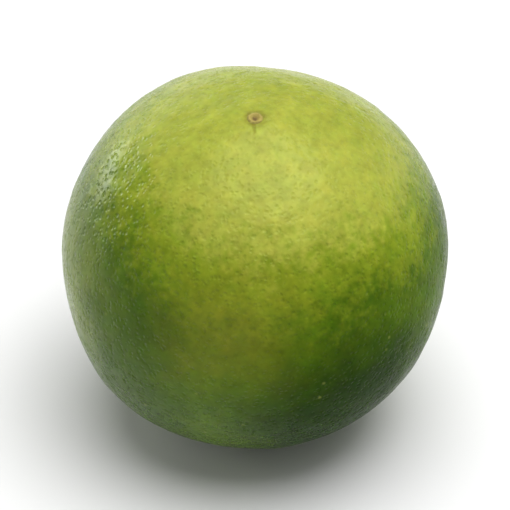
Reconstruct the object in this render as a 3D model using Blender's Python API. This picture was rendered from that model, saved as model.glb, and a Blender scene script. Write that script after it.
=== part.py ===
"""A whole Persian lime, blossom end up, with its dried stem button underneath.

Run it with: blender --background --python part.py

Metres, +Z up. The origin is the middle of the small flat spot that the lime rests on.
The front is -Y, the side that the blossom end leans towards, and +X is to its right.
Both pieces are drawn from the lime's centre: a place is a direction from there, plus a
height over the rind.
"""

import math

import bmesh
import bpy
from mathutils import Matrix, Vector

MM = 0.001

# Fruit
FRUIT_WIDTH = 57.0 * MM  # side to side
FRUIT_DEPTH = 56.5 * MM  # front to back
FRUIT_LENGTH = 56.6 * MM  # stem end to blossom end
BLOSSOM_LEAN = math.radians(8.5)  # from straight up, towards the front
REST_SPOT_RADIUS = 5.0 * MM  # the flat spot that it stands on
FRUIT_AROUND = 72  # facets round the fruit
FRUIT_ALONG = 40  # facets from one end to the other

# Broad swells (+) and flats (-) of the flesh: azimuth from +X towards the back,
# elevation, height and the angle over which it dies away
SWELLS = (
    (17.0, 21.0, 0.35 * MM, 24.0),
    (71.0, 52.0, -0.40 * MM, 17.0),
    (135.0, 42.0, 0.35 * MM, 20.0),
    (186.0, -9.0, -0.45 * MM, 17.0),
    (214.0, -34.0, 0.45 * MM, 18.0),
    (-7.0, -10.0, -0.30 * MM, 16.0),
    (280.0, 5.0, 0.25 * MM, 30.0),
)

# Blossom end: a low rise round the scar that the flower left
BLOSSOM_RISE = 0.5 * MM
BLOSSOM_RISE_RADIUS = 7.0 * MM
BLOSSOM_SCAR_DEPTH = 0.25 * MM
BLOSSOM_SCAR_RADIUS = 1.6 * MM

# Stem end: a shallow basin low at the back, beside the flat spot
BASIN_DEPTH = 1.4 * MM
BASIN_RADIUS = 6.5 * MM
BASIN_MARGIN = 0.5 * MM  # round rind left between the basin and the flat spot

# Stem button, the dried cup of five sepals that seats in the basin
BUTTON_RADIUS = 3.2 * MM
BUTTON_THICKNESS = 0.9 * MM
BUTTON_EDGE_LIFT = 0.25 * MM  # its edge curls up off the rind by this much
BUTTON_CLEARANCE = 0.3 * MM  # between the button and the rind
SEPAL_COUNT = 5
SEPAL_RELIEF = 0.11  # how far a sepal's tip stands out, as a share of the radius
STALK_SCAR_RADIUS = 1.2 * MM
STALK_SCAR_DEPTH = 0.35 * MM
BUTTON_AROUND = 40
BUTTON_ALONG = 14


def leaning(angle):
    """The unit vector at this angle from straight up, towards the front."""
    return Vector((0.0, -math.sin(angle), math.cos(angle)))


def compass(azimuth, elevation):
    """The unit vector at an azimuth and an elevation, both in degrees."""
    around, up = math.radians(azimuth), math.radians(elevation)
    level = math.cos(up)
    return Vector((level * math.cos(around), level * math.sin(around), math.sin(up)))


MEAN_RADIUS = FRUIT_LENGTH / 2  # turns a length along the rind into an angle
BASIN_PLACE = REST_SPOT_RADIUS + BASIN_MARGIN + BASIN_RADIUS  # along the rind
BLOSSOM = leaning(BLOSSOM_LEAN)
STEM = -leaning(BASIN_PLACE / MEAN_RADIUS)

# The plain body is an ellipsoid: its points from the centre have point . BODY @ point = 1
HALF_SIZES = (FRUIT_WIDTH / 2, FRUIT_DEPTH / 2, FRUIT_LENGTH / 2)
FRUIT_TURN = Matrix.Rotation(BLOSSOM_LEAN, 3, "X")
UPRIGHT_BODY = Matrix.Diagonal([1.0 / half**2 for half in HALF_SIZES])
BODY = FRUIT_TURN @ UPRIGHT_BODY @ FRUIT_TURN.transposed()

SWELL_PLACES = [
    (compass(azimuth, elevation), height, math.radians(spread))
    for azimuth, elevation, height, spread in SWELLS
]


def rounded(distance, radius):
    """One at the middle of a round patch, falling smoothly to none at its radius."""
    share = min(distance / radius, 1.0)
    return (1.0 - share * share) ** 2


def rind_radius(direction):
    """From the centre to the rind, in this direction."""
    radius = 1.0 / math.sqrt(direction.dot(BODY @ direction))
    for place, height, spread in SWELL_PLACES:
        radius += height * math.exp(-((direction.angle(place) / spread) ** 2))
    from_blossom = direction.angle(BLOSSOM) * MEAN_RADIUS
    radius += BLOSSOM_RISE * rounded(from_blossom, BLOSSOM_RISE_RADIUS)
    radius -= BLOSSOM_SCAR_DEPTH * rounded(from_blossom, BLOSSOM_SCAR_RADIUS)
    from_stem = direction.angle(STEM) * MEAN_RADIUS
    radius -= BASIN_DEPTH * rounded(from_stem, BASIN_RADIUS)
    return radius


def resting_centre():
    """Where the centre stands, for the flat spot to lie round the origin at its radius."""
    slope = BODY[1][2] / BODY[1][1]
    upright = BODY[2][2] - slope * BODY[1][2]
    height = math.sqrt((1.0 - BODY[0][0] * REST_SPOT_RADIUS**2) / upright)
    return Vector((0.0, -slope * height, height))


CENTRE = resting_centre()


def over_rind(direction, height):
    """The point at this height over the rind, in this direction."""
    return CENTRE + direction * (rind_radius(direction) + height)


def finish(name, colour, roughness):
    material = bpy.data.materials.new(name)
    material.use_nodes = True
    shader = material.node_tree.nodes["Principled BSDF"]
    shader.inputs["Base Color"].default_value = (*colour, 1.0)
    shader.inputs["Roughness"].default_value = roughness
    shader.inputs["Metallic"].default_value = 0.0
    return material


def round_body(name, around, along, placed, collection, material):
    """A sphere primitive with each vertex moved by a rule, as a smooth object."""
    shape = bmesh.new()
    bmesh.ops.create_uvsphere(shape, u_segments=around, v_segments=along, radius=1.0)
    for vertex in shape.verts:
        vertex.co = placed(vertex.co.copy())
    bmesh.ops.recalc_face_normals(shape, faces=shape.faces)
    mesh = bpy.data.meshes.new(name)
    shape.to_mesh(mesh)
    shape.free()
    mesh.shade_smooth()
    mesh.materials.append(material)
    body = bpy.data.objects.new(name, mesh)
    collection.objects.link(body)
    return body


def make_fruit(collection, cutters):
    """The rind and flesh, one grown piece, cut level where it rests."""
    rind = finish("waxy_rind", (0.30, 0.42, 0.045), 0.4)

    def placed(unit):
        return over_rind((FRUIT_TURN @ unit).normalized(), 0.0)

    fruit = round_body("fruit", FRUIT_AROUND, FRUIT_ALONG, placed, collection, rind)
    bpy.ops.mesh.primitive_cube_add(size=FRUIT_WIDTH)
    floor = bpy.context.object
    floor.name = "rest_spot_cutter"
    floor.location.z = -FRUIT_WIDTH / 2
    floor.hide_render = True
    floor.display_type = "WIRE"
    for owner in list(floor.users_collection):
        owner.objects.unlink(floor)
    cutters.objects.link(floor)
    cut = fruit.modifiers.new("rest_spot", "BOOLEAN")
    cut.operation = "DIFFERENCE"
    cut.solver = "EXACT"
    cut.object = floor


def make_stem_button(collection):
    """The dried calyx: a five-lobed lens that follows the basin, with the stalk's scar."""
    dry = finish("dried_calyx", (0.27, 0.19, 0.08), 0.75)
    sideways = STEM.orthogonal().normalized()
    onward = STEM.cross(sideways)

    def placed(unit):
        across = Vector((unit.x, unit.y))
        share = min(across.length, 1.0)
        around = math.atan2(unit.y, unit.x)
        sepal = 1.0 + SEPAL_RELIEF * math.cos(SEPAL_COUNT * around)
        distance = BUTTON_RADIUS * sepal * share
        outward = sideways * math.cos(around) + onward * math.sin(around)
        angle = distance / MEAN_RADIUS
        direction = STEM * math.cos(angle) + outward * math.sin(angle)
        if unit.z < 0.0:
            height = BUTTON_EDGE_LIFT * (1.0 + unit.z)
        else:
            top = BUTTON_THICKNESS - BUTTON_EDGE_LIFT
            height = BUTTON_EDGE_LIFT + top * unit.z
            height -= STALK_SCAR_DEPTH * rounded(distance, STALK_SCAR_RADIUS)
        return over_rind(direction, BUTTON_CLEARANCE + height)

    round_body("stem_button", BUTTON_AROUND, BUTTON_ALONG, placed, collection, dry)


def new_collection(name):
    collection = bpy.data.collections.new(name)
    bpy.context.scene.collection.children.link(collection)
    return collection


def main():
    for thing in list(bpy.data.objects):
        bpy.data.objects.remove(thing, do_unlink=True)
    lime = new_collection("lime")
    cutters = new_collection("cutters")
    make_fruit(lime, cutters)
    make_stem_button(lime)


main()
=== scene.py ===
"""The looks of a whole Persian lime, standing blossom end up on a small flat spot.

A waxy, gland-pitted rind is grown over the frame's fruit, with the corky scar that the
flower left on top and the dried calyx in its basin underneath. Everything is in metres,
+Z up, and the front, where the camera stands, is -Y.
"""

import logging
import math
from collections.abc import Callable
from dataclasses import dataclass, field
from enum import Enum

import bmesh
import bpy
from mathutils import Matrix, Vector, noise
from mathutils.bvhtree import BVHTree


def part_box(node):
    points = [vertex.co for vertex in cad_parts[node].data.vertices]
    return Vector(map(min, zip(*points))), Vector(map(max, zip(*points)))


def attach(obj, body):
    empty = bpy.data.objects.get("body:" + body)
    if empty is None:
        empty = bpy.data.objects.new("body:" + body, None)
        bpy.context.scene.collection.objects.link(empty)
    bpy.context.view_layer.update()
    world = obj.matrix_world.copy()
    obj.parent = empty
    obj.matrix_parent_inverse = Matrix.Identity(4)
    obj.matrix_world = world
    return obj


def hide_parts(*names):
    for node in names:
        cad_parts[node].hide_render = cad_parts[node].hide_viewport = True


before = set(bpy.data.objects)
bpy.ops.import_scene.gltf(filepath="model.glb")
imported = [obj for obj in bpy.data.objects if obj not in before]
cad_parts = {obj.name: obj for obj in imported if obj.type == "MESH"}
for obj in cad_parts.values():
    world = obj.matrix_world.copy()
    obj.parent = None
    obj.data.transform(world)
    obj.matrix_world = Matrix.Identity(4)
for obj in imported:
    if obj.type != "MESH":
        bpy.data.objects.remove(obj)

# Short names for Blender's types.
Tree, Node, Socket = bpy.types.NodeTree, bpy.types.Node, bpy.types.NodeSocket
Sockets, Piece, Material = bpy.types.bpy_prop_collection, bpy.types.Object, bpy.types.Material

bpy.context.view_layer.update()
MM = 0.001
BODY = "root"
FRONT = Vector((0.0, -1.0, 0.0))
BACK = Vector((0.0, 1.0, 0.0))
log = logging.getLogger("lime")


class Slot(Enum):
    """The record's material slots."""

    RIND = "rind"
    CALYX = "calyx"


class CadNode(Enum):
    """The frame's nodes."""

    FRUIT = "fruit"
    STEM_BUTTON = "stem_button"


MATH, VECTOR = "ShaderNodeMath", "ShaderNodeVectorMath"


class Step(Enum):
    """The steps that the trees are made of: a node's kind and its settings."""

    PLUS = (MATH, {"operation": "ADD"})
    MINUS = (MATH, {"operation": "SUBTRACT"})
    TIMES = (MATH, {"operation": "MULTIPLY"})
    TIMES_PLUS = (MATH, {"operation": "MULTIPLY_ADD"})
    OVER = (MATH, {"operation": "DIVIDE"})
    LESSER = (MATH, {"operation": "MINIMUM"})
    UNSIGNED = (MATH, {"operation": "ABSOLUTE"})
    COSINE = (MATH, {"operation": "COSINE"})
    ARC_COSINE = (MATH, {"operation": "ARCCOSINE"})
    ARC_TANGENT = (MATH, {"operation": "ARCTAN2"})
    SOFT_GREATER = (MATH, {"operation": "SMOOTH_MAX"})
    RAMP = ("ShaderNodeMapRange", {"interpolation_type": "SMOOTHSTEP"})
    VECTOR_MINUS = (VECTOR, {"operation": "SUBTRACT"})
    VECTOR_SCALE = (VECTOR, {"operation": "SCALE"})
    VECTOR_TIMES_PLUS = (VECTOR, {"operation": "MULTIPLY_ADD"})
    VECTOR_TANGENT = (VECTOR, {"operation": "TANGENT"})
    UNIT = (VECTOR, {"operation": "NORMALIZE"})
    FACING = (VECTOR, {"operation": "DOT_PRODUCT"})
    APART = (VECTOR, {"operation": "DISTANCE"})
    SPLIT = ("ShaderNodeSeparateXYZ", {})
    JOIN = ("ShaderNodeCombineXYZ", {})
    NOISE = ("ShaderNodeTexNoise", {})
    CELLS = ("ShaderNodeTexVoronoi", {})
    MIX = ("ShaderNodeMix", {"data_type": "RGBA"})
    HUE_AND_VALUE = ("ShaderNodeHueSaturation", {})
    COORDINATES = ("ShaderNodeTexCoord", {})
    BUMP = ("ShaderNodeBump", {})
    INPUTS = ("NodeGroupInput", {})
    OUTPUTS = ("NodeGroupOutput", {})
    POSITION = ("GeometryNodeInputPosition", {})
    INDEX = ("GeometryNodeInputIndex", {})
    RANDOM = ("FunctionNodeRandomValue", {})
    CUBE = ("GeometryNodeMeshCube", {})
    BALL = ("GeometryNodeMeshUVSphere", {})
    CIRCLE = ("GeometryNodeMeshCircle", {})
    OBJECT = ("GeometryNodeObjectInfo", {})
    RAYCAST = ("GeometryNodeRaycast", {})
    BLUR = ("GeometryNodeBlurAttribute", {})
    MOVE = ("GeometryNodeSetPosition", {})
    TURN = ("FunctionNodeAxisAngleToRotation", {})
    INSTANCES = ("GeometryNodeInstanceOnPoints", {})
    REALIZE = ("GeometryNodeRealizeInstances", {})
    SHADE_SMOOTH = ("GeometryNodeSetShadeSmooth", {})
    SET_MATERIAL = ("GeometryNodeSetMaterial", {})


# ---- shared tools


def linear(hex_colour: str) -> tuple[float, float, float, float]:
    """Turns an sRGB colour into the linear one that a shader takes.

    Args:
        hex_colour: six hex digits, such as "b6c04d".

    Returns:
        Linear red, green, blue and an alpha of one.
    """
    shares = [int(hex_colour[i : i + 2], 16) / 255 for i in (0, 2, 4)]
    red, green, blue = (
        s / 12.92 if s <= 0.04045 else ((s + 0.055) / 1.055) ** 2.4 for s in shares
    )
    return red, green, blue, 1.0


def compass(azimuth: float, elevation: float) -> Vector:
    """Names a place on the fruit as a direction from its centre.

    Args:
        azimuth: degrees from +X towards the back.
        elevation: degrees above the level.

    Returns:
        The unit vector.
    """
    around, up = math.radians(azimuth), math.radians(elevation)
    level = math.cos(up)
    return Vector((level * math.cos(around), level * math.sin(around), math.sin(up)))


def tangents(outward: Vector, towards: Vector) -> tuple[Vector, Vector]:
    """Two level directions at a place on the fruit.

    Args:
        outward: the place, as a unit vector from the centre.
        towards: which way is ahead.

    Returns:
        The unit vectors ahead and to the side.
    """
    ahead = (towards - outward * towards.dot(outward)).normalized()
    return ahead, outward.cross(ahead)


def feed(tree: Tree, node: Node, *operands: object, **named: object) -> None:
    """Feeds a node's open sockets, with links or values.

    Args:
        tree: the node's tree.
        node: the node.
        *operands: what feeds the sockets, in order: a node stands for its first open
            output, None leaves a socket as it is, and anything else is a value.
        **named: the same by socket name, with _ for a space.
    """
    sockets = [s for s in node.inputs if s.enabled and not s.is_unavailable]
    by_name = {s.name: s for s in reversed(sockets)}
    pairs = list(zip(sockets, operands))
    pairs += [(by_name[name.replace("_", " ")], value) for name, value in named.items()]
    for socket, value in pairs:
        if isinstance(value, Node):
            value = next(s for s in value.outputs if s.enabled and not s.is_unavailable)
        if isinstance(value, Socket):
            tree.links.new(value, socket)
        elif value is not None:
            socket.default_value = value


def add(tree: Tree, step: Step, *operands: object, **named: object) -> Node:
    """Adds a node with its settings and its links.

    Args:
        tree: the tree that takes the node.
        step: the node's kind and settings.
        *operands: what feeds its sockets, as in feed.
        **named: the same by socket name.

    Returns:
        The new node.
    """
    kind, settings = step.value
    node = tree.nodes.new(kind)
    for name, value in settings.items():
        setattr(node, name, value)
    feed(tree, node, *operands, **named)
    return node


@dataclass(frozen=True)
class Cloud:
    """One layer of soft noise: the width of its patches, its finer layers, its swing."""

    size: float
    detail: float
    swing: float


def clouded(tree: Tree, value: object, place: object, *clouds: Cloud) -> Node:
    """Makes a value uneven, with noise that swings it both ways.

    Args:
        tree: the tree.
        value: node, socket or number.
        place: where the noise is read, in metres.
        *clouds: the layers of noise.

    Returns:
        The node with the uneven value.
    """
    for cloud in clouds:
        soft = add(tree, Step.NOISE, place, 1.0 / cloud.size, cloud.detail)
        centred = add(tree, Step.MINUS, soft, 0.5)
        value = add(tree, Step.TIMES_PLUS, centred, cloud.swing, value)
    return value


def angle_from(tree: Tree, direction: object, place: object) -> Node:
    """The angle between two unit vectors, in radians.

    Args:
        tree: the tree.
        direction: node or socket with the direction of each point.
        place: node, socket or value with the direction to measure from.

    Returns:
        The node with the angle.
    """
    near = add(tree, Step.FACING, direction, place)
    return add(tree, Step.ARC_COSINE, add(tree, Step.LESSER, near, 1.0))


def reach_from(tree: Tree, centre: object, outward: object, surface: object, far: float) -> Socket:
    """How far a surface lies from a centre.

    Args:
        tree: the tree.
        centre: where it is measured from.
        outward: each point's direction.
        surface: input socket with the object.
        far: how far to look.

    Returns:
        The socket with the distance.
    """
    solid = add(tree, Step.OBJECT, surface).outputs["Geometry"]
    ray = add(
        tree,
        Step.RAYCAST,
        Target_Geometry=solid,
        Source_Position=centre,
        Ray_Direction=outward,
        Ray_Length=far,
    )
    return ray.outputs["Hit Distance"]


@dataclass(frozen=True)
class Patch:
    """A soft, ragged patch on the fruit: where it lies, and its edge and core in radians."""

    place: Vector
    edge: float
    core: float
    clouds: tuple[Cloud, ...]

    def ragged(self, tree: Tree, place: object, direction: object) -> Node:
        """How far each point is from the patch, unevenly.

        Args:
            tree: the tree.
            place: each point's place.
            direction: each point's direction.

        Returns:
            The node with the angle.
        """
        return clouded(tree, angle_from(tree, direction, self.place), place, *self.clouds)

    def share(self, tree: Tree, place: object, direction: object) -> Node:
        """How much of the patch each point has, from none at its edge to one at its core.

        Args:
            tree: the tree.
            place: each point's place.
            direction: each point's direction.

        Returns:
            The node with the share.
        """
        ragged = self.ragged(tree, place, direction)
        return add(tree, Step.RAMP, ragged, self.edge, self.core)


def new_material(name: str) -> tuple[Material, Tree, Node]:
    """Makes a plain Principled material.

    Args:
        name: the material's name.

    Returns:
        The material, its tree and its shader.
    """
    material = bpy.data.materials.new(name)
    material.use_nodes = True
    return material, material.node_tree, material.node_tree.nodes["Principled BSDF"]


SOCKET_KINDS = {
    int: "NodeSocketInt",
    float: "NodeSocketFloat",
    Vector: "NodeSocketVector",
    Piece: "NodeSocketObject",
    Material: "NodeSocketMaterial",
}


def grown(name: str, sizes: dict[str, object], draw: Callable[[Tree, Sockets], Node]) -> Piece:
    """Runs a Geometry Nodes tree once and keeps what it makes as a plain mesh.

    Args:
        name: the piece's name, and the tree's.
        sizes: the tree's inputs, by name, with the piece's material as "Finish".
        draw: builds the tree from its input sockets and returns its last geometry.

    Returns:
        The piece, with no modifier left.
    """
    tree = bpy.data.node_groups.new(name, "GeometryNodeTree")
    sockets = {}
    for label, value in sizes.items():
        kind = next(k for t, k in SOCKET_KINDS.items() if isinstance(value, t))
        sockets[label] = tree.interface.new_socket(label, in_out="INPUT", socket_type=kind)
    tree.interface.new_socket("Geometry", in_out="OUTPUT", socket_type="NodeSocketGeometry")
    inputs = add(tree, Step.INPUTS).outputs
    smooth = add(tree, Step.SHADE_SMOOTH, draw(tree, inputs))
    whole = add(tree, Step.REALIZE, smooth)
    finished = add(tree, Step.SET_MATERIAL, whole, Material=inputs["Finish"])
    add(tree, Step.OUTPUTS, finished)

    carrier = bpy.data.objects.new(name, bpy.data.meshes.new(name + "_start"))
    bpy.context.scene.collection.objects.link(carrier)
    modifier = carrier.modifiers.new(name, "NODES")
    modifier.node_group = tree
    for label, value in sizes.items():
        modifier[sockets[label].identifier] = value
    graph = bpy.context.evaluated_depsgraph_get()
    mesh = bpy.data.meshes.new_from_object(carrier.evaluated_get(graph))
    mesh.name = name
    carrier.modifiers.remove(modifier)
    carrier.data = mesh
    return carrier


class Skin:
    """The finished rind, as a surface that other pieces are seated on."""

    def __init__(self, rind: Piece, centre: Vector, mean_radius: float) -> None:
        """Reads the rind.

        Args:
            rind: the finished piece.
            centre: the fruit's centre.
            mean_radius: turns a length along the rind into an angle.
        """
        mesh = rind.data
        faces = [polygon.vertices for polygon in mesh.polygons]
        self.tree = BVHTree.FromPolygons([v.co for v in mesh.vertices], faces)
        self.centre = centre
        self.mean_radius = mean_radius

    def point(self, direction: Vector, height: float) -> Vector:
        """The point over the rind.

        Args:
            direction: unit vector from the fruit's centre.
            height: how far it stands over the rind.

        Returns:
            The point.
        """
        reach = self.tree.ray_cast(self.centre, direction)[3]
        return self.centre + direction * (reach + height)


@dataclass(frozen=True)
class Seat:
    """A round spot on the rind, with polar places of its own."""

    skin: Skin
    middle: Vector
    forward: Vector

    def point(self, distance: float, around: float, height: float) -> Vector:
        """The point at a polar place.

        Args:
            distance: from the middle, along the rind.
            around: radians from the forward side.
            height: over the rind.

        Returns:
            The point.
        """
        ahead, side = tangents(self.middle, self.forward)
        outward = ahead * math.cos(around) + side * math.sin(around)
        angle = distance / self.skin.mean_radius
        direction = self.middle * math.cos(angle) + outward * math.sin(angle)
        return self.skin.point(direction, height)


def seated_lens(
    name: str,
    seat: Seat,
    outline: Callable[[float], float],
    top: Callable[[float, float], float],
    sunk: float,
) -> Piece:
    """Makes a closed round body that lies on the rind, its underside sunk into it.

    Args:
        name: the piece's name.
        seat: where it lies.
        outline: its radius, from the angle round it.
        top: the height of its upper side, from the distance and the angle.
        sunk: how deep the underside lies in the rind.

    Returns:
        The piece.
    """
    shape = bmesh.new()
    bmesh.ops.create_uvsphere(shape, u_segments=72, v_segments=48, radius=1.0)
    for vertex in shape.verts:
        unit = vertex.co.copy()
        turn = math.atan2(unit.y, unit.x)
        distance = outline(turn) * min(math.hypot(unit.x, unit.y), 1.0)
        height = top(distance, turn) if unit.z >= 0.0 else -sunk
        vertex.co = seat.point(distance, turn, height)
    bmesh.ops.recalc_face_normals(shape, faces=shape.faces)
    mesh = bpy.data.meshes.new(name)
    shape.to_mesh(mesh)
    shape.free()
    mesh.shade_smooth()
    piece = bpy.data.objects.new(name, mesh)
    bpy.context.scene.collection.objects.link(piece)
    return piece


def hump(distance: float, middle: float, width: float) -> float:
    """A bell curve of height one.

    Args:
        distance: where to read it.
        middle: where it peaks.
        width: how far from there it falls to about a third.

    Returns:
        Its height.
    """
    return math.exp(-(((distance - middle) / width) ** 2))


def rough(distance: float, turn: float, grain: float, height: float) -> float:
    """Fine relief at a polar place.

    Args:
        distance: from the middle.
        turn: radians round it.
        grain: width of the bumps.
        height: how high they stand.

    Returns:
        The relief there.
    """
    spot = Vector((distance * math.cos(turn), distance * math.sin(turn), 0.0))
    return height * noise.noise(spot / grain)


def ride(piece: Piece, slot: Slot) -> None:
    """Puts a finished piece on the lime's body and reports it.

    Args:
        piece: the piece.
        slot: the record's slot for the piece's finish; not used.
    """
    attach(piece, BODY)
    sides = [round(side / MM, 1) for side in piece.dimensions]
    log.info("%s: %d faces, %s mm", piece.name, len(piece.data.polygons), sides)


# ---- finishes


# Citrus rind is a green skin full of oil glands under a thin natural wax. It gives the eye
# a satin sheen that the gland pits break into specks, a pale edge where the wax is seen at
# a slant, and a green that ripens to yellow from the blossom end.
# Parts of the colour stand in for light: a painted reflection on the left flank, a painted shadow
# low on the front right, and painted shade round the blossom scar and in its crease.
@dataclass(frozen=True)
class WaxyRind:
    """Waxy citrus rind, as grown, with painted shadow, reflection and shade in parts of its
    colour.
    """

    centre: Vector
    blossom: Vector
    mean_radius: float
    scar_radius: float
    ripe: str = "a2a742"
    cap: str = "929c36"
    turning: str = "78891f"
    green: str = "4f690f"
    deep_green: str = "344e0a"
    # Low on the front right: dark green, darkened further as a painted shadow.
    dark_green_and_shadow: str = "213907"
    # A pale band on the left flank: painted reflection of the white floor and wall in the wax.
    painted_reflection: str = "8f9d4c"
    blush: str = "7d7a1f"
    # Brown of the ring round the blossom scar and of its crease: partly the scar's own browning,
    # partly painted shade at the foot of its lip and in the crease.
    cork: str = "6e5f20"
    fleck: str = "b4ba66"
    deep_cloud: float = 13.0 * MM
    deep_reach: tuple[float, ...] = (0.36, 0.68, 0.0, 0.68)  # from, to, least, most
    roughness: float = 0.26
    pit_roughness: float = 0.08  # that a gland adds
    ior: float = 1.45
    shine: float = 0.22
    dulled: float = 0.18  # shine that the dull side lacks
    wax_tint: str = "edffbc"
    gland_spacing: float = 0.78 * MM
    gland_scatter: float = 0.85
    gland_reach: tuple[float, float] = (0.54, 0.06)  # its edge and core, in cells
    gland_kinds: tuple[float, ...] = (0.25, 0.80, 0.35, 1.35)  # how they differ in strength
    gland_bump: float = 0.095 * MM
    ripe_bump: float = 0.055 * MM
    gland_drift: Cloud = Cloud(1.8 * MM, 2.0, 0.9 * MM)
    gland_ink: float = 0.09  # how green a pit is
    # The skin's own grain is finer than this, and is drawn as coarse as it has to be to show.
    grain: Cloud = Cloud(0.22 * MM, 2.0, 0.005 * MM)
    smears: Cloud = Cloud(5.0 * MM, 2.0, 0.16)
    mottling: tuple[Cloud, ...] = (Cloud(2.4 * MM, 3.0, 0.55), Cloud(0.9 * MM, 1.0, 0.36))
    hue_mottling: Cloud = Cloud(2.2 * MM, 3.0, 0.045)
    ripe_patch: Patch = Patch(
        compass(-30.0, 83.0),
        0.95,
        0.68,
        (
            Cloud(16.0 * MM, 2.0, 0.42),
            Cloud(4.5 * MM, 3.0, 0.32),
            Cloud(1.1 * MM, 2.0, 0.34),
        ),
    )
    green_edge: float = 0.88
    green_full: float = 1.25
    yellowest: Patch = Patch(compass(-70.0, 58.0), 0.85, 0.20, (Cloud(10.0 * MM, 3.0, 0.9),))
    # Where the dark green with painted shadow lies, low on the front right.
    dark_and_shadow_patch: Patch = Patch(compass(-60.0, -26.0), 0.74, 0.25, (Cloud(7.0 * MM, 3.0, 0.35),))
    dull_patch: Patch = Patch(compass(-42.0, -5.0), 1.10, 0.55, (Cloud(9.0 * MM, 2.0, 0.35),))
    # Where the painted reflection lies, on the left flank.
    painted_reflection_patch: Patch = Patch(compass(190.0, 5.0), 0.62, 0.15, (Cloud(6.0 * MM, 3.0, 0.35),))
    painted_reflection_share: float = 0.55
    blush_patch: Patch = Patch(compass(-99.0, 15.0), 0.55, 0.05, (Cloud(7.0 * MM, 2.0, 0.4),))
    blush_share: float = 0.40
    blush_ripens: float = -0.12  # brings the blush nearer to the ripe patch
    fleck_spacing: float = 2.6 * MM
    fleck_reach: tuple[float, float] = (0.15, 0.03)
    fleck_choice: tuple[float, ...] = (0.45, 0.85, 0.0, 0.30)  # from, to, least, most
    # The brown ring round the scar: partly its own browning, partly painted shade at the foot of
    # its lip.
    stain_and_shade: Cloud = Cloud(0.8 * MM, 2.0, 1.2)
    stain_and_shade_share: float = 0.45
    stain_and_shade_reach: tuple[float, float] = (1.7, 0.95)  # edge and core, in scar radii
    crease_bend: Cloud = Cloud(1.6 * MM, 1.0, 0.5 * MM)
    crease_start: float = 0.5 * MM
    crease_length: float = 3.2 * MM
    crease_width: float = 0.42 * MM
    crease_depth: float = 0.08 * MM
    # How much painted shade darkens the crease.
    crease_painted_shade: float = 0.38
    flesh_glow: float = 0.12
    glow_reach: tuple[float, float, float] = (1.0, 0.8, 0.25)

    def material(self) -> Material:
        """Builds the material, on Object coordinates.

        Returns:
            The material.
        """
        material, tree, shader = new_material("waxy_citrus_rind")
        place = add(tree, Step.COORDINATES).outputs["Object"]
        from_centre = add(tree, Step.VECTOR_MINUS, place, self.centre)
        direction = add(tree, Step.UNIT, from_centre)
        # Share of dark green with painted shadow, low on the front right.
        dark = self.dark_and_shadow_patch.share(tree, place, direction)
        colour, ripe = self.ripening(tree, place, direction, dark)
        colour, gland = self.glands(tree, place, colour)
        colour = self.flecks(tree, place, colour)
        colour, crease = self.scar_marks(tree, place, direction, colour)

        dull = self.dull_patch.share(tree, place, direction)
        smeared = clouded(tree, self.roughness, place, self.smears)
        relief = clouded(tree, 0.0, place, self.grain)
        pit = add(tree, Step.TIMES_PLUS, ripe, self.gland_bump - self.ripe_bump, -self.gland_bump)
        relief = add(tree, Step.TIMES_PLUS, gland, pit, relief)
        relief = add(tree, Step.TIMES_PLUS, crease, -self.crease_depth, relief)
        feed(
            tree,
            shader,
            Base_Color=colour,
            Roughness=add(tree, Step.TIMES_PLUS, gland, self.pit_roughness, smeared),
            Specular_IOR_Level=add(tree, Step.TIMES_PLUS, dull, -self.dulled, self.shine),
            Normal=add(tree, Step.BUMP, Strength=1.0, Distance=1.0, Height=relief),
            IOR=self.ior,
            Specular_Tint=linear(self.wax_tint),
            Subsurface_Weight=self.flesh_glow,
            Subsurface_Radius=self.glow_reach,
            Subsurface_Scale=1.0 * MM,
        )
        return material

    def ripening(
        self, tree: Tree, place: object, direction: object, dark: object
    ) -> tuple[Node, Node]:
        """Paints the green, ripening to yellow round the blossom end, with a painted shadow low on
        the front right and a painted reflection on the left flank.

        Args:
            tree: the tree.
            place: each point's place.
            direction: each point's direction.
            dark: the share of dark green with painted shadow, low on the front right, at each
                point.

        Returns:
            The colour, and the share of ripe skin at each point.
        """
        cloud = add(tree, Step.NOISE, place, 1.0 / self.deep_cloud)
        deep = add(tree, Step.RAMP, cloud, *self.deep_reach)
        green, deep_green = linear(self.green), linear(self.deep_green)
        ground = add(tree, Step.MIX, deep, green, deep_green)
        # Dark green with painted shadow, low on the front right.
        ground = add(tree, Step.MIX, dark, ground, linear(self.dark_green_and_shadow))
        # Painted reflection: a pale band on the left flank, as the wax shows white surroundings at
        # a slant.
        pale = self.painted_reflection_patch.share(tree, place, direction)
        pale = add(tree, Step.TIMES, pale, self.painted_reflection_share)
        ground = add(tree, Step.MIX, pale, ground, linear(self.painted_reflection))

        blushed = self.blush_patch.share(tree, place, direction)
        away = self.ripe_patch.ragged(tree, place, direction)
        away = add(tree, Step.TIMES_PLUS, blushed, self.blush_ripens, away)
        greener = add(tree, Step.RAMP, away, self.green_edge, self.green_full)
        colour = add(tree, Step.MIX, greener, linear(self.turning), ground)
        yellowest = self.yellowest.share(tree, place, direction)
        yellow = add(tree, Step.MIX, yellowest, linear(self.cap), linear(self.ripe))
        ripe_patch = self.ripe_patch
        riper = add(tree, Step.RAMP, away, ripe_patch.edge, ripe_patch.core)
        colour = add(tree, Step.MIX, riper, colour, yellow)
        blushed = add(tree, Step.TIMES, blushed, self.blush_share)
        return add(tree, Step.MIX, blushed, colour, linear(self.blush)), riper

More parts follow.
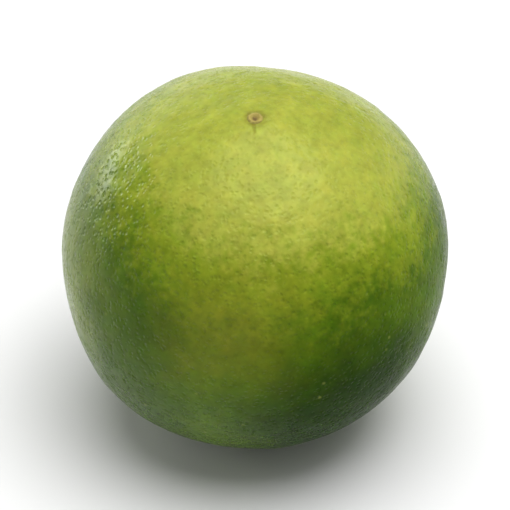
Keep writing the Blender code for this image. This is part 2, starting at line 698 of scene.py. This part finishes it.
    def glands(self, tree: Tree, place: object, colour: object) -> tuple[Node, Node]:
        """Dots the skin with oil glands, greener in the pit, and mottles it.

        Args:
            tree: the tree.
            place: each point's place.
            colour: the skin's colour.

        Returns:
            The new colour, and the share of gland at each point.
        """
        drift = self.gland_drift
        cloud = add(tree, Step.NOISE, place, 1.0 / drift.size, drift.detail).outputs["Color"]
        swing = (drift.swing, drift.swing, drift.swing)
        packed = add(tree, Step.VECTOR_TIMES_PLUS, cloud, swing, place)
        spacing = 1.0 / self.gland_spacing
        scatter = self.gland_scatter
        cells = add(tree, Step.CELLS, Vector=packed, Scale=spacing, Randomness=scatter)
        gland = add(tree, Step.RAMP, cells.outputs["Distance"], *self.gland_reach)
        own = add(tree, Step.RAMP, cells.outputs["Color"], *self.gland_kinds)
        inked = add(tree, Step.TIMES, own, self.gland_ink)
        inked = add(tree, Step.TIMES, inked, gland)
        dotted = add(tree, Step.MIX, inked, colour, linear(self.green))
        hue = clouded(tree, 0.5, place, self.hue_mottling)
        value = clouded(tree, 1.0, place, *self.mottling)
        return add(tree, Step.HUE_AND_VALUE, Hue=hue, Value=value, Color=dotted), gland

    def flecks(self, tree: Tree, place: object, colour: object) -> Node:
        """Adds a few small pale flecks.

        Args:
            tree: the tree.
            place: each point's place.
            colour: the skin's colour.

        Returns:
            The node with the new colour.
        """
        spacing = 1.0 / self.fleck_spacing
        cells = add(tree, Step.CELLS, Vector=place, Scale=spacing, Randomness=1.0)
        fleck = add(tree, Step.RAMP, cells.outputs["Distance"], *self.fleck_reach)
        chosen = add(tree, Step.RAMP, cells.outputs["Color"], *self.fleck_choice)
        share = add(tree, Step.TIMES, fleck, chosen)
        return add(tree, Step.MIX, share, colour, linear(self.fleck))

    def scar_marks(
        self, tree: Tree, place: object, direction: object, colour: object
    ) -> tuple[Node, Node]:
        """Adds a brown ring round the blossom scar, partly its own browning and partly painted
        shade, and the crease below it, darkened with painted shade.

        Args:
            tree: the tree.
            place: each point's place.
            direction: each point's direction.
            colour: the skin's colour.

        Returns:
            The new colour, and the share of crease at each point.
        """
        cork = linear(self.cork)
        from_blossom = angle_from(tree, direction, self.blossom)
        away = add(tree, Step.TIMES, from_blossom, self.mean_radius)
        # Brown ring round the scar: partly its own browning, partly painted shade at the foot of
        # its lip.
        edge, core = (share * self.scar_radius for share in self.stain_and_shade_reach)
        stain_and_shade = add(tree, Step.RAMP, away, edge, core)
        uneven = clouded(tree, self.stain_and_shade_share, place, self.stain_and_shade)
        stain_and_shade = add(tree, Step.TIMES, stain_and_shade, uneven)
        colour = add(tree, Step.MIX, stain_and_shade, colour, cork)

        axes = add(tree, Step.SPLIT, place)
        bent = clouded(tree, axes.outputs["X"], place, self.crease_bend)
        aside = add(tree, Step.UNSIGNED, bent)
        end = self.scar_radius + self.crease_length
        scar_depth = self.centre.y + self.blossom.y * self.mean_radius
        crease = add(tree, Step.RAMP, aside, self.crease_width, 0.0)
        for value, none, full in (
            (away, end, 0.5 * end),
            (axes.outputs["Y"], scar_depth, scar_depth - self.crease_start),
        ):
            within = add(tree, Step.RAMP, value, none, full)
            crease = add(tree, Step.TIMES, crease, within)
        # Painted shade in the crease.
        dark = add(tree, Step.TIMES, crease, self.crease_painted_shade)
        return add(tree, Step.MIX, dark, colour, cork), crease


# Scar tissue and dried calyx are dead plant fibre. They give the eye a dry, matt tan, greener
# towards the living skin. The darker colour in the hollows is painted shade, with some of the
# blossom scar's own darker core.
@dataclass(frozen=True)
class Cork:
    """Corky, fibrous plant tissue."""

    name: str
    middle: Vector
    tan: str
    # Colour of the hollows: painted shade, with some of the blossom scar's own darker core.
    dark: str
    skirt: str
    rim: float
    roughness: float = 0.8
    fibre: Cloud = Cloud(0.25 * MM, 3.0, 0.08 * MM)
    ragged_size: float = 0.5 * MM
    # The rest are in shares of the rim's radius.
    ragged_swing: float = 0.6
    # How far the painted shade in the hollows reaches.
    hollow_reach: tuple[float, float] = (0.85, 0.25)
    skirt_reach: tuple[float, float] = (1.1, 1.55)

    def material(self) -> Material:
        """Builds the material, on Object coordinates.

        Returns:
            The material.
        """
        material, tree, shader = new_material(self.name)
        place = add(tree, Step.COORDINATES).outputs["Object"]
        away = add(tree, Step.APART, place, self.middle)
        ragged = Cloud(self.ragged_size, 2.0, self.ragged_swing * self.rim)
        away = clouded(tree, away, place, ragged)
        hollow, outer = (
            add(tree, Step.RAMP, away, none * self.rim, full * self.rim)
            for none, full in (self.hollow_reach, self.skirt_reach)
        )
        colour = add(tree, Step.MIX, outer, linear(self.tan), linear(self.skirt))
        # Darker in the hollows: painted shade, with some of the blossom scar's own darker core.
        colour = add(tree, Step.MIX, hollow, colour, linear(self.dark))
        fibre = clouded(tree, 0.0, place, self.fibre)
        bump = add(tree, Step.BUMP, Strength=1.0, Distance=1.0, Height=fibre)
        feed(tree, shader, Base_Color=colour, Roughness=self.roughness, Normal=bump)
        return material


# A painted board gives the eye an even white with no shine.
@dataclass(frozen=True)
class PaintedBoard:
    """Matt white painted board."""

    white: str = "e6e6e6"
    roughness: float = 0.9

    def material(self) -> Material:
        """Builds the material.

        Returns:
            The material.
        """
        material, tree, shader = new_material("matt_white_board")
        feed(tree, shader, Base_Color=linear(self.white), Roughness=self.roughness)
        return material


# ---- sub-assemblies


@dataclass
class Fruit:
    """The grown fruit: its rind and the scar at its blossom end."""

    blossom_lean: float = math.radians(8.5)
    cube_vertices: int = 127
    smoothing: int = 12
    # Real glands stand about 0.8 mm apart. The mesh is coarser, and the finish has them all.
    gland_spacing: float = 1.35 * MM
    gland_depth: float = 0.05 * MM
    gland_scatter: float = 0.85
    gland_reach: tuple[float, float] = (0.50, 0.06)  # its edge and core, in cells
    still: tuple[float, float] = (0.1 * MM, 2.0 * MM)  # no relief this close to the floor
    swell_size: float = 13.0 * MM
    swell_height: float = 0.42 * MM
    ripple_size: float = 3.4 * MM
    ripple_height: float = 0.25 * MM
    floor_blend: float = 0.08 * MM  # rounds the edge of the resting spot
    furrow_count: int = 7
    furrow_depth: float = 0.60 * MM
    furrow_reach: tuple[float, float] = (9.0 * MM, 3.8 * MM)
    furrow_start: tuple[float, float] = (0.5 * MM, 2.0 * MM)
    furrow_bank: float = 0.1  # how high on the wave a furrow begins
    furrow_bend: Cloud = Cloud(0.25, 1.0, 1.4)
    scar_radius: float = 1.22 * MM
    # Its outline's lobes: how many, how far out, and from where.
    scar_lobes: tuple[tuple[float, ...], ...] = ((2, 0.05, 0.6), (5, 0.04, 0.0))
    scar_dip: float = 0.28 * MM
    scar_lip: float = 0.80 * MM
    scar_lip_height: float = 0.20 * MM
    scar_lip_width: float = 0.25 * MM
    scar_lip_swing: float = 0.25
    scar_edge_drop: float = 0.14 * MM
    scar_floor: float = 0.06 * MM
    scar_grain: float = 0.4 * MM
    scar_grain_height: float = 0.05 * MM
    scar_sunk: float = 0.35 * MM
    centre: Vector = field(init=False)
    blossom: Vector = field(init=False)
    stem: Vector = field(init=False)
    mean_radius: float = field(init=False)
    rind: Piece = field(init=False)
    skin: Skin = field(init=False)

    def __post_init__(self) -> None:
        """Reads the fruit's middle, its size and its ends from the frame."""
        low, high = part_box(CadNode.FRUIT.value)
        button_low, button_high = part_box(CadNode.STEM_BUTTON.value)
        self.centre = (low + high) / 2
        self.mean_radius = sum(high - low) / 6
        self.blossom = Vector((0.0, -math.sin(self.blossom_lean), math.cos(self.blossom_lean)))
        self.stem = ((button_low + button_high) / 2 - self.centre).normalized()

    def build(self) -> None:
        """Makes both pieces and puts them on the lime's body."""
        self.rind = self.build_rind()
        self.skin = Skin(self.rind, self.centre, self.mean_radius)
        ride(self.rind, Slot.RIND)
        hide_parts(CadNode.FRUIT.value)
        ride(self.build_blossom_scar(), Slot.RIND)

    def build_rind(self) -> Piece:
        """Grows the skin over the frame's fruit.

        Returns:
            The rind.
        """
        finish = WaxyRind(self.centre, self.blossom, self.mean_radius, self.scar_radius)
        sizes = {
            "Grown over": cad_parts[CadNode.FRUIT.value],
            "Centre": self.centre,
            "Blossom": self.blossom,
            "Stem": self.stem,
            "Cube vertices": self.cube_vertices,
            "Smoothing": self.smoothing,
            "Gland spacing": self.gland_spacing,
            "Gland depth": self.gland_depth,
            "Swell size": self.swell_size,
            "Swell height": self.swell_height,
            "Ripple size": self.ripple_size,
            "Ripple height": self.ripple_height,
            "Floor blend": self.floor_blend,
            "Scar radius": self.scar_radius,
            "Scar dip": self.scar_dip,
            "Furrows": self.furrow_count,
            "Furrow depth": self.furrow_depth,
            "Finish": finish.material(),
        }
        return grown("rind", sizes, self.draw_rind)

    def draw_rind(self, tree: Tree, sizes: Sockets) -> Node:
        """Builds the rind's tree: an even ball drawn out to the fruit, then its relief.

        Args:
            tree: the tree.
            sizes: its input sockets.

        Returns:
            The last geometry node.
        """
        count = sizes["Cube vertices"]
        cube = add(tree, Step.CUBE, (2.0, 2.0, 2.0), count, count, count)
        # The tangent spaces the cube's lines at equal angles, so the faces come out even.
        corner = add(tree, Step.POSITION)
        turned = add(tree, Step.VECTOR_SCALE, corner, Scale=math.pi / 4)
        outward = add(tree, Step.UNIT, add(tree, Step.VECTOR_TANGENT, turned))
        centre, far = sizes["Centre"], 2.0 * self.mean_radius
        reach = reach_from(tree, centre, outward, sizes["Grown over"], far)
        reach = add(tree, Step.BLUR, reach, sizes["Smoothing"], 1.0)
        plain = add(tree, Step.VECTOR_TIMES_PLUS, outward, reach, sizes["Centre"])
        ball = add(tree, Step.MOVE, cube.outputs["Mesh"], Position=plain)

        place = add(tree, Step.POSITION)
        from_centre = add(tree, Step.VECTOR_MINUS, place, sizes["Centre"])
        direction = add(tree, Step.UNIT, from_centre)
        relief = self.draw_relief(tree, sizes, place, direction)
        lifted = add(tree, Step.VECTOR_TIMES_PLUS, direction, relief, place)
        axes = add(tree, Step.SPLIT, lifted).outputs
        height = add(tree, Step.SOFT_GREATER, axes["Z"], 0.0, sizes["Floor blend"])
        rested = add(tree, Step.JOIN, axes["X"], axes["Y"], height)
        return add(tree, Step.MOVE, ball, Position=rested)

    def draw_relief(self, tree: Tree, sizes: Sockets, place: object, direction: object) -> Node:
        """Adds up the rind's relief: swells, ripples, gland pits, furrows and the scar's dip.

        Args:
            tree: the tree.
            sizes: its input sockets.
            place: each point's place.
            direction: each point's direction.

        Returns:
            The node with the height.
        """
        relief = self.draw_furrows(tree, sizes, direction)
        for size, height, detail in (
            (sizes["Swell size"], sizes["Swell height"], 1.0),
            (sizes["Ripple size"], sizes["Ripple height"], 2.0),
        ):
            cloud = add(tree, Step.NOISE, place, add(tree, Step.OVER, 1.0, size), detail)
            centred = add(tree, Step.MINUS, cloud, 0.5)
            relief = add(tree, Step.TIMES_PLUS, centred, height, relief)
        scale = add(tree, Step.OVER, 1.0, sizes["Gland spacing"])
        cells = add(tree, Step.CELLS, Vector=place, Scale=scale, Randomness=self.gland_scatter)
        distance = cells.outputs["Distance"]
        gland = add(tree, Step.RAMP, distance, *self.gland_reach, 0.0, -1.0)
        relief = add(tree, Step.TIMES_PLUS, gland, sizes["Gland depth"], relief)
        level = add(tree, Step.SPLIT, place).outputs["Z"]
        off_floor = add(tree, Step.RAMP, level, *self.still)
        relief = add(tree, Step.TIMES, relief, off_floor)
        from_blossom = angle_from(tree, direction, sizes["Blossom"])
        away = add(tree, Step.TIMES, from_blossom, self.mean_radius)
        dip = add(tree, Step.RAMP, away, sizes["Scar radius"], 0.0, 0.0, -1.0)
        return add(tree, Step.TIMES_PLUS, dip, sizes["Scar dip"], relief)

    def draw_furrows(self, tree: Tree, sizes: Sockets, direction: object) -> Node:
        """Draws the shallow furrows that gather the rind round the stem.

        Args:
            tree: the tree.
            sizes: its input sockets.
            direction: each point's direction.

        Returns:
            The node with their height.
        """
        ahead, side = tangents(self.stem, BACK)
        turn = add(
            tree,
            Step.ARC_TANGENT,
            add(tree, Step.FACING, direction, side),
            add(tree, Step.FACING, direction, ahead),
        )
        bent = clouded(tree, turn, direction, self.furrow_bend)
        wave = add(tree, Step.COSINE, add(tree, Step.TIMES, bent, sizes["Furrows"]))
        furrow = add(tree, Step.RAMP, wave, self.furrow_bank, 1.0, 0.0, -1.0)
        from_stem = angle_from(tree, direction, sizes["Stem"])
        away = add(tree, Step.TIMES, from_stem, self.mean_radius)
        for none, full in (self.furrow_start, self.furrow_reach):
            within = add(tree, Step.RAMP, away, none, full)
            furrow = add(tree, Step.TIMES, furrow, within)
        return add(tree, Step.TIMES, furrow, sizes["Furrow depth"])

    def scar_outline(self, turn: float) -> float:
        """The blossom scar's radius, a little uneven.

        Args:
            turn: radians round it.

        Returns:
            The radius there.
        """
        lobes = (share * math.sin(count * turn + start) for count, share, start in self.scar_lobes)
        return self.scar_radius * (1.0 + sum(lobes))

    def scar_top(self, distance: float, turn: float) -> float:
        """The blossom scar's upper side: a raised lip round a rough floor.

        Args:
            distance: from its middle.
            turn: radians round it.

        Returns:
            The height there.
        """
        lip = self.scar_lip_height * (1.0 + self.scar_lip_swing * math.sin(3 * turn))
        lip *= hump(distance, self.scar_lip, self.scar_lip_width)
        edge = -self.scar_edge_drop * (distance / self.scar_radius) ** 6
        grain = rough(distance, turn, self.scar_grain, self.scar_grain_height)
        return self.scar_floor + lip + edge + grain

    def build_blossom_scar(self) -> Piece:
        """Makes the corky ring that the flower left.

        Returns:
            The scar.
        """
        seat = Seat(self.skin, self.blossom, FRONT)
        name = "blossom_scar"
        scar = seated_lens(name, seat, self.scar_outline, self.scar_top, self.scar_sunk)
        middle = seat.point(0.0, 0.0, 0.0)
        lip = self.scar_lip
        # Its second colour darkens the scar's hollow middle: partly its own darker core, partly
        # painted shade.
        cork = Cork("blossom_scar_cork", middle, "a8984c", "665325", "7f7630", lip)
        scar.data.materials.append(cork.material())
        return scar


@dataclass
class StemButton:
    """The dried calyx at the stem end: its sepals round the scar of the stalk."""

    fruit: Fruit
    sepal_count: int = 5
    sepal_length: float = 3.0 * MM
    sepal_width: float = 2.9 * MM
    sepal_thickness: float = 0.60 * MM
    sepal_taper: float = 0.45
    keel_height: float = 0.10 * MM
    tip_curl: float = 0.35 * MM
    keel_width: float = 0.35  # of the sepal's half width
    sepal_least: float = 0.88  # how the sepals differ in size
    sepal_most: float = 1.12
    sepal_start: float = 0.05 * MM  # how far out each begins
    seed: int = 4
    foot_radius: float = 2.15 * MM
    foot_height: float = 0.50 * MM
    foot_lobe: float = 0.07
    stalk_radius: float = 1.30 * MM
    stalk_height: float = 0.55 * MM
    stalk_hollow: float = 0.45 * MM
    stalk_rim: float = 0.76  # of its radius
    # Fine relief on the break: the width of its bumps, and height.
    chips: tuple[tuple[float, float], ...] = ((0.45 * MM, 0.14 * MM), (0.16 * MM, 0.05 * MM))
    sunk: float = 0.1 * MM

    def build(self) -> None:
        """Makes both pieces and puts them on the lime's body."""
        sepals = self.build_sepals()
        ride(sepals, Slot.CALYX)
        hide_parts(CadNode.STEM_BUTTON.value)
        ride(self.build_stalk_scar(), Slot.CALYX)

    def build_sepals(self) -> Piece:
        """Makes the ring of sepals, each lying on the rind.

        Returns:
            The sepals.
        """
        fruit = self.fruit
        middle = fruit.skin.point(fruit.stem, 0.0)
        # Its second colour darkens the sepals' inner ends round the stalk: painted shade under the
        # foot.
        cork = Cork("dried_calyx", middle, "5c5029", "3d3017", "4c5420", 2.0 * MM)
        sizes = {
            "Lies on": fruit.rind,
            "Centre": fruit.centre,
            "Stem": fruit.stem,
            "Sepals": self.sepal_count,
            "Length": self.sepal_length,
            "Width": self.sepal_width,
            "Thickness": self.sepal_thickness,
            "Keel height": self.keel_height,
            "Tip curl": self.tip_curl,
            "Seed": self.seed,
            "Finish": cork.material(),
        }
        return grown("calyx_sepals", sizes, self.draw_sepals)

    def draw_sepals(self, tree: Tree, sizes: Sockets) -> Node:
        """Builds the sepals' tree: one sepal, turned round the stem and laid on the rind.

        Args:
            tree: the tree.
            sizes: its input sockets.

        Returns:
            The last geometry node.
        """
        least, most = self.sepal_least, self.sepal_most
        spots = add(tree, Step.CIRCLE, sizes["Sepals"], self.sepal_start)
        share = add(tree, Step.OVER, add(tree, Step.INDEX), sizes["Sepals"])
        turn = add(tree, Step.TIMES, share, 2.0 * math.pi)
        ring = add(
            tree,
            Step.INSTANCES,
            Points=spots,
            Instance=self.draw_sepal(tree, sizes),
            Rotation=add(tree, Step.TURN, (0.0, 0.0, 1.0), turn),
            Scale=add(tree, Step.RANDOM, Min=least, Max=most, Seed=sizes["Seed"]),
        )
        return self.laid_on_rind(tree, sizes, add(tree, Step.REALIZE, ring))

    def draw_sepal(self, tree: Tree, sizes: Sockets) -> Node:
        """Draws one sepal along X: a flat, tapered blade with a keel and a curled tip.

        Args:
            tree: the tree.
            sizes: its input sockets.

        Returns:
            The geometry node that shaped it.
        """
        ball = add(tree, Step.BALL, 40, 20, 1.0)
        unit = add(tree, Step.SPLIT, add(tree, Step.POSITION)).outputs
        along = add(tree, Step.TIMES_PLUS, unit["X"], 0.5, 0.5)
        squared = add(tree, Step.TIMES, along, along)
        taper = add(tree, Step.TIMES_PLUS, squared, -self.sepal_taper, 1.0)
        half_width = add(tree, Step.TIMES, taper, sizes["Width"])
        half_width = add(tree, Step.TIMES, half_width, 0.5)
        curl = add(tree, Step.TIMES, squared, along)
        curl = add(tree, Step.TIMES, curl, sizes["Tip curl"])
        off_keel = add(tree, Step.UNSIGNED, unit["Y"])
        keel = add(tree, Step.RAMP, off_keel, self.keel_width, 0.0)
        keel = add(tree, Step.TIMES, keel, along)
        rise = add(tree, Step.TIMES_PLUS, keel, sizes["Keel height"], curl)
        half_thickness = add(tree, Step.TIMES, sizes["Thickness"], 0.5)
        shaped = add(
            tree,
            Step.JOIN,
            add(tree, Step.TIMES, along, sizes["Length"]),
            add(tree, Step.TIMES, unit["Y"], half_width),
            add(tree, Step.TIMES_PLUS, unit["Z"], half_thickness, rise),
        )
        return add(tree, Step.MOVE, ball.outputs["Mesh"], Position=shaped)

    def laid_on_rind(self, tree: Tree, sizes: Sockets, flat: Node) -> Node:
        """Bends a flat shape onto the rind at the stem end.

        Args:
            tree: the tree.
            sizes: its input sockets.
            flat: the shape, with its heights along Z.

        Returns:
            The geometry node that moved it.
        """
        mean_radius = self.fruit.mean_radius
        axes = add(tree, Step.SPLIT, add(tree, Step.POSITION)).outputs
        ahead, side = tangents(self.fruit.stem, BACK)
        outward = add(tree, Step.VECTOR_SCALE, sizes["Stem"], Scale=mean_radius)
        outward = add(tree, Step.VECTOR_TIMES_PLUS, axes["X"], ahead, outward)
        outward = add(tree, Step.VECTOR_TIMES_PLUS, axes["Y"], side, outward)
        outward = add(tree, Step.UNIT, outward)
        centre, far = sizes["Centre"], 2.0 * mean_radius
        reach = reach_from(tree, centre, outward, sizes["Lies on"], far)
        reach = add(tree, Step.PLUS, reach, axes["Z"])
        place = add(tree, Step.VECTOR_TIMES_PLUS, outward, reach, sizes["Centre"])
        return add(tree, Step.MOVE, flat, Position=place)

    def stalk_outline(self, turn: float) -> float:
        """The foot's radius, with a soft lobe for each sepal.

        Args:
            turn: radians round it.

        Returns:
            The radius there.
        """
        lobe = self.foot_lobe * math.cos(self.sepal_count * turn)
        return self.foot_radius * (1.0 + lobe)

    def stalk_top(self, distance: float, turn: float) -> float:
        """The upper side: a low foot, the stub of the stalk and its hollow heart.

        Args:
            distance: from the middle.
            turn: radians round it.

        Returns:
            The height there.
        """
        foot = self.foot_height * (1.0 - (distance / self.stalk_outline(turn)) ** 3)
        stub = self.stalk_height / (1.0 + (distance / self.stalk_radius) ** 10)
        hollow = -self.stalk_hollow * hump(distance, 0.0, 0.5 * self.stalk_radius)
        broken, splinters = (rough(distance, turn, *chip) for chip in self.chips)
        return foot + stub + hollow + broken + splinters

    def build_stalk_scar(self) -> Piece:
        """Makes the rough cup where the stalk broke off.

        Returns:
            The scar.
        """
        seat = Seat(self.fruit.skin, self.fruit.stem, BACK)
        scar = seated_lens("stalk_scar", seat, self.stalk_outline, self.stalk_top, self.sunk)
        middle = seat.point(0.0, 0.0, 0.5 * self.stalk_height)
        rim = self.stalk_rim * self.stalk_radius
        # Its second colour darkens the stalk's hollow heart: painted shade.
        cork = Cork("broken_stalk_wood", middle, "77633a", "35270f", "4a4222", rim)
        scar.data.materials.append(cork.material())
        return scar


@dataclass(frozen=True)
class Lamp:
    """A flat studio lamp, aimed at the lime."""

    name: str
    place: Vector
    width: float
    height: float
    power: float

    def hang(self, target: Vector) -> None:
        """Hangs the lamp.

        Args:
            target: what it is aimed at.
        """
        lamp = bpy.data.lights.new(self.name, "AREA")
        lamp.shape = "RECTANGLE"
        lamp.size = self.width
        lamp.size_y = self.height
        lamp.energy = self.power
        holder = bpy.data.objects.new(self.name, lamp)
        holder.location = self.place
        holder.rotation_euler = (target - self.place).to_track_quat("-Z", "Y").to_euler()
        holder.visible_camera = False
        bpy.context.scene.collection.objects.link(holder)


@dataclass
class Studio:
    """A pale floor in white surroundings, soft lamps and the camera."""

    target: Vector
    elevation: float = math.radians(38.0)
    distance: float = 0.56
    shown_width: float = 75.0 * MM
    floor_side: float = 6.0
    floor_gap: float = 0.02 * MM  # keeps the floor clear of the resting spot
    sky_lean: Vector = Vector((0.08, 0.0, 1.0)).freeze()
    sky_spread: float = math.radians(55.0)
    sky_power: float = 2.8
    room: float = 0.25
    wall: float = 1.1
    wall_side: Vector = compass(125.0, 5.0).freeze()
    wall_reach: tuple[float, float] = (0.75, 0.97)  # as cosines from its middle
    horizon: float = 0.8
    horizon_reach: tuple[float, float] = (0.12, 0.05)  # as sines of the height
    lamps: tuple[Lamp, ...] = (
        Lamp("top_lamp", Vector((0.40, -0.10, 0.92)), 0.9, 0.5, 2.6),
        Lamp("left_lamp", Vector((-0.80, 0.67, 0.13)), 0.38, 0.22, 2.0),
        Lamp("right_lamp", Vector((0.95, 0.55, 0.20)), 0.45, 0.35, 0.8),
    )

    def build(self) -> None:
        """Makes the floor, the surroundings, the lights and the camera."""
        self.build_floor()
        self.build_surroundings()
        self.build_sky_lamp()
        for lamp in self.lamps:
            lamp.hang(self.target)
        self.build_camera()
        bpy.context.scene.view_settings.view_transform = "Standard"

    def build_floor(self) -> None:
        """Lays the pale floor."""
        shape = bmesh.new()
        bmesh.ops.create_grid(shape, x_segments=1, y_segments=1, size=self.floor_side / 2)
        mesh = bpy.data.meshes.new("floor")
        shape.to_mesh(mesh)
        shape.free()
        mesh.materials.append(PaintedBoard().material())
        floor = bpy.data.objects.new("floor", mesh)
        floor.location.z = -self.floor_gap
        bpy.context.scene.collection.objects.link(floor)

    def build_surroundings(self) -> None:
        """Surrounds it with a dim white room, brighter at the wall and along the horizon."""
        world = bpy.data.worlds.new("surroundings")
        world.use_nodes = True
        tree = world.node_tree
        outward = add(tree, Step.COORDINATES).outputs["Generated"]
        facing = add(tree, Step.FACING, outward, self.wall_side)
        bright = self.room + self.wall
        wall = add(tree, Step.RAMP, facing, *self.wall_reach, self.room, bright)
        level = add(tree, Step.UNSIGNED, add(tree, Step.SPLIT, outward).outputs["Z"])
        horizon = add(tree, Step.RAMP, level, *self.horizon_reach, 0.0, self.horizon)
        strength = add(tree, Step.PLUS, wall, horizon)
        white = (1.0, 1.0, 1.0, 1.0)
        feed(tree, tree.nodes["Background"], Color=white, Strength=strength)
        bpy.context.scene.world = world

    def build_sky_lamp(self) -> None:
        """Hangs the broad main lamp overhead."""
        lamp = bpy.data.lights.new("sky_lamp", "SUN")
        lamp.angle = self.sky_spread
        lamp.energy = self.sky_power
        holder = bpy.data.objects.new("sky_lamp", lamp)
        holder.rotation_euler = self.sky_lean.to_track_quat("Z", "Y").to_euler()
        bpy.context.scene.collection.objects.link(holder)

    def build_camera(self) -> None:
        """Sets the camera in front, looking down on the lime."""
        camera = bpy.data.cameras.new("camera")
        camera.lens = camera.sensor_width * self.distance / self.shown_width
        holder = bpy.data.objects.new("camera", camera)
        back = Vector((0.0, -math.cos(self.elevation), math.sin(self.elevation)))
        holder.location = self.target + back * self.distance
        holder.rotation_euler = (-back).to_track_quat("-Z", "Y").to_euler()
        bpy.context.scene.collection.objects.link(holder)
        bpy.context.scene.camera = holder


def main() -> None:
    """Builds the lime and its studio."""
    logging.basicConfig(level=logging.INFO, format="%(name)s: %(message)s")
    fruit = Fruit()
    fruit.build()
    StemButton(fruit).build()
    Studio(fruit.centre).build()


if __name__ == "__main__":
    main()
